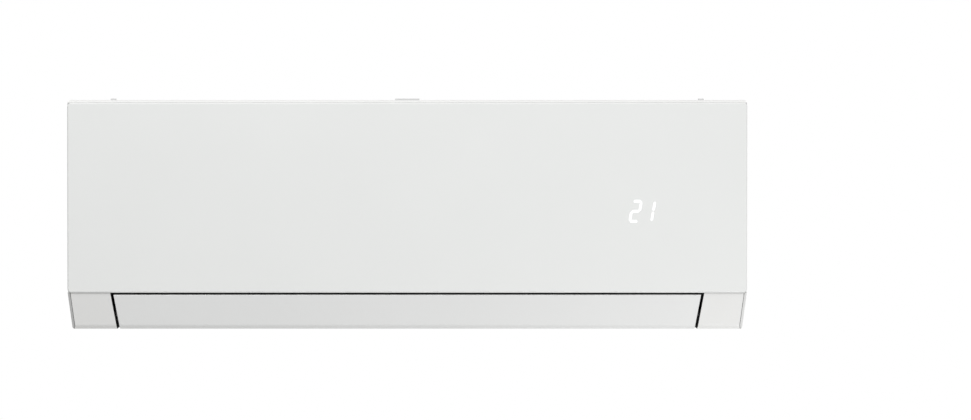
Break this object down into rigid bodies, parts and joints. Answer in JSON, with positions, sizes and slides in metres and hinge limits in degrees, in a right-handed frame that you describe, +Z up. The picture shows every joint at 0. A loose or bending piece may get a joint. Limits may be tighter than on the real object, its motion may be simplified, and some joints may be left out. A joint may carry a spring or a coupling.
{
  "type": "mini split indoor unit",
  "caption": "Wall-hung indoor unit of a split air conditioner with lift-up front panel, outlet flap, swinging vanes, cross-flow fan, coil, lift-out filters and wall plate.",
  "frame": {"origin": "centre of the wall plate's back face, which lies on the wall", "axes": "+Z up, +X to the right as seen from the room, the front faces -Y and the wall is at y = 0"},
  "size_m": [0.866, 0.209, 0.294],
  "materials": {
    "shell_white": "satin moulded white",
    "panel_white": "smooth satin white",
    "flap_white": "smooth satin white",
    "figure_glow": "lit diffuser",
    "guide_white": "matte",
    "board_green": "lacquered board",
    "part_black": "moulded black",
    "chassis_grey": "moulded grey",
    "duct_dark": "moulded dark grey",
    "fan_black": "moulded black",
    "grid_grey": "moulded grey",
    "filter_net": "fine net",
    "zinc_steel": "zinc coated",
    "fin_aluminium": "fin stack",
    "copper": "drawn copper",
    "union_brass": "turned",
    "steel": "turned",
    "motor_can": "drawn can",
    "rubber_black": "matte"
  },
  "bodies": {
    "chassis": {"front_casing": "shell_white", "casing_clips": "shell_white", "control_board": "board_green", "board_components": "part_black", "button_switch": "part_black", "terminal_block": "part_black", "rear_chassis": "chassis_grey", "electric_box": "chassis_grey", "wiring_cover": "chassis_grey", "drain_pan": "duct_dark", "flap_hangers": "duct_dark", "inlet_grid": "grid_grey", "wall_plate": "zinc_steel", "coil_end_plates": "zinc_steel", "motor_strap": "zinc_steel", "fin_pack_lower": "fin_aluminium", "fin_pack_upper": "fin_aluminium", "fin_pack_rear": "fin_aluminium", "hairpin_bends": "copper", "liquid_pipe": "copper", "gas_pipe": "copper", "liquid_union": "union_brass", "gas_union": "union_brass", "fan_bearing": "union_brass", "casing_screws": "steel", "fan_motor": "motor_can", "flap_motor": "motor_can", "swing_motor": "motor_can", "motor_rings": "rubber_black", "bearing_holder": "rubber_black"},
    "panel": {"front_panel": "panel_white", "display_segments": "figure_glow", "display_guide": "guide_white", "display_board": "board_green", "display_plug": "part_black"},
    "flap": {"flap": "flap_white", "flap_arms": "flap_white", "flap_motor_shaft": "steel"},
    "fan": {"fan_wheel": "fan_black", "fan_hub": "rubber_black", "fan_stub": "steel", "motor_shaft": "steel"},
    "filter_left": {"filter_frame_left": "grid_grey", "filter_mesh_left": "filter_net"},
    "filter_right": {"filter_frame_right": "grid_grey", "filter_mesh_right": "filter_net"},
    "button": {"manual_button": "guide_white"},
    "crank": {"swing_crank": "duct_dark"},
    "link": {"link_bar": "duct_dark"},
    "body_vane_01": {"vane_01": "duct_dark"},
    "body_vane_02": {"vane_02": "duct_dark"},
    "body_vane_03": {"vane_03": "duct_dark"},
    "body_vane_04": {"vane_04": "duct_dark"},
    "body_vane_05": {"vane_05": "duct_dark"},
    "body_vane_06": {"vane_06": "duct_dark"},
    "body_vane_07": {"vane_07": "duct_dark"},
    "body_vane_08": {"vane_08": "duct_dark"},
    "body_vane_09": {"vane_09": "duct_dark"},
    "body_vane_10": {"vane_10": "duct_dark"}
  },
  "joints": [
    {"name": "panel_hinge", "type": "hinge", "parent": "chassis", "child": "panel", "pos_m": [0, -0.201, 0.1335], "axis": [-1, 0, 0], "range_deg": [0, 65]},
    {"name": "flap_hinge", "type": "hinge", "parent": "chassis", "child": "flap", "pos_m": [0, -0.16, -0.128], "axis": [1, 0, 0], "range_deg": [0, 90]},
    {"name": "fan_spin", "type": "hinge", "parent": "chassis", "child": "fan", "pos_m": [0, -0.097, -0.045], "axis": [1, 0, 0], "continuous": true},
    {"name": "filter_left_lift", "type": "slide", "parent": "chassis", "child": "filter_left", "axis": [0, 0, 1], "range_m": [0, 0.1]},
    {"name": "filter_right_lift", "type": "slide", "parent": "chassis", "child": "filter_right", "axis": [0, 0, 1], "range_m": [0, 0.1]},
    {"name": "button_press", "type": "slide", "parent": "chassis", "child": "button", "axis": [0, 1, 0], "range_m": [0, 0.001], "stiffness_N_per_m": 400, "springref_m": -0.001},
    {"name": "vane_swing", "type": "hinge", "parent": "chassis", "child": "crank", "pos_m": [0.255, -0.09295, -0.11937], "axis": [0, -0.5037, 0.8639], "range_deg": [-35, 35]},
    {"name": "link_pivot", "type": "hinge", "parent": "crank", "child": "link", "pos_m": [0.255, -0.11195, -0.13045], "axis": [0, -0.5037, 0.8639], "range_deg": [-35, 35]},
    {"name": "vane_01_pivot", "type": "hinge", "parent": "chassis", "child": "body_vane_01", "pos_m": [-0.322, -0.09295, -0.11937], "axis": [0, -0.5037, 0.8639], "range_deg": [-35, 35]},
    {"name": "vane_02_pivot", "type": "hinge", "parent": "chassis", "child": "body_vane_02", "pos_m": [-0.262, -0.09295, -0.11937], "axis": [0, -0.5037, 0.8639], "range_deg": [-35, 35]},
    {"name": "vane_03_pivot", "type": "hinge", "parent": "chassis", "child": "body_vane_03", "pos_m": [-0.202, -0.09295, -0.11937], "axis": [0, -0.5037, 0.8639], "range_deg": [-35, 35]},
    {"name": "vane_04_pivot", "type": "hinge", "parent": "chassis", "child": "body_vane_04", "pos_m": [-0.142, -0.09295, -0.11937], "axis": [0, -0.5037, 0.8639], "range_deg": [-35, 35]},
    {"name": "vane_05_pivot", "type": "hinge", "parent": "chassis", "child": "body_vane_05", "pos_m": [-0.082, -0.09295, -0.11937], "axis": [0, -0.5037, 0.8639], "range_deg": [-35, 35]},
    {"name": "vane_06_pivot", "type": "hinge", "parent": "chassis", "child": "body_vane_06", "pos_m": [-0.022, -0.09295, -0.11937], "axis": [0, -0.5037, 0.8639], "range_deg": [-35, 35]},
    {"name": "vane_07_pivot", "type": "hinge", "parent": "chassis", "child": "body_vane_07", "pos_m": [0.038, -0.09295, -0.11937], "axis": [0, -0.5037, 0.8639], "range_deg": [-35, 35]},
    {"name": "vane_08_pivot", "type": "hinge", "parent": "chassis", "child": "body_vane_08", "pos_m": [0.098, -0.09295, -0.11937], "axis": [0, -0.5037, 0.8639], "range_deg": [-35, 35]},
    {"name": "vane_09_pivot", "type": "hinge", "parent": "chassis", "child": "body_vane_09", "pos_m": [0.158, -0.09295, -0.11937], "axis": [0, -0.5037, 0.8639], "range_deg": [-35, 35]},
    {"name": "vane_10_pivot", "type": "hinge", "parent": "chassis", "child": "body_vane_10", "pos_m": [0.218, -0.09295, -0.11937], "axis": [0, -0.5037, 0.8639], "range_deg": [-35, 35]}
  ],
  "couplings": [
    {"joint": "link_pivot", "follows": "vane_swing", "ratio": -1},
    {"joint": "vane_01_pivot", "follows": "vane_swing", "ratio": 1},
    {"joint": "vane_02_pivot", "follows": "vane_swing", "ratio": 1},
    {"joint": "vane_03_pivot", "follows": "vane_swing", "ratio": 1},
    {"joint": "vane_04_pivot", "follows": "vane_swing", "ratio": 1},
    {"joint": "vane_05_pivot", "follows": "vane_swing", "ratio": 1},
    {"joint": "vane_06_pivot", "follows": "vane_swing", "ratio": 1},
    {"joint": "vane_07_pivot", "follows": "vane_swing", "ratio": 1},
    {"joint": "vane_08_pivot", "follows": "vane_swing", "ratio": 1},
    {"joint": "vane_09_pivot", "follows": "vane_swing", "ratio": 1},
    {"joint": "vane_10_pivot", "follows": "vane_swing", "ratio": 1}
  ]
}
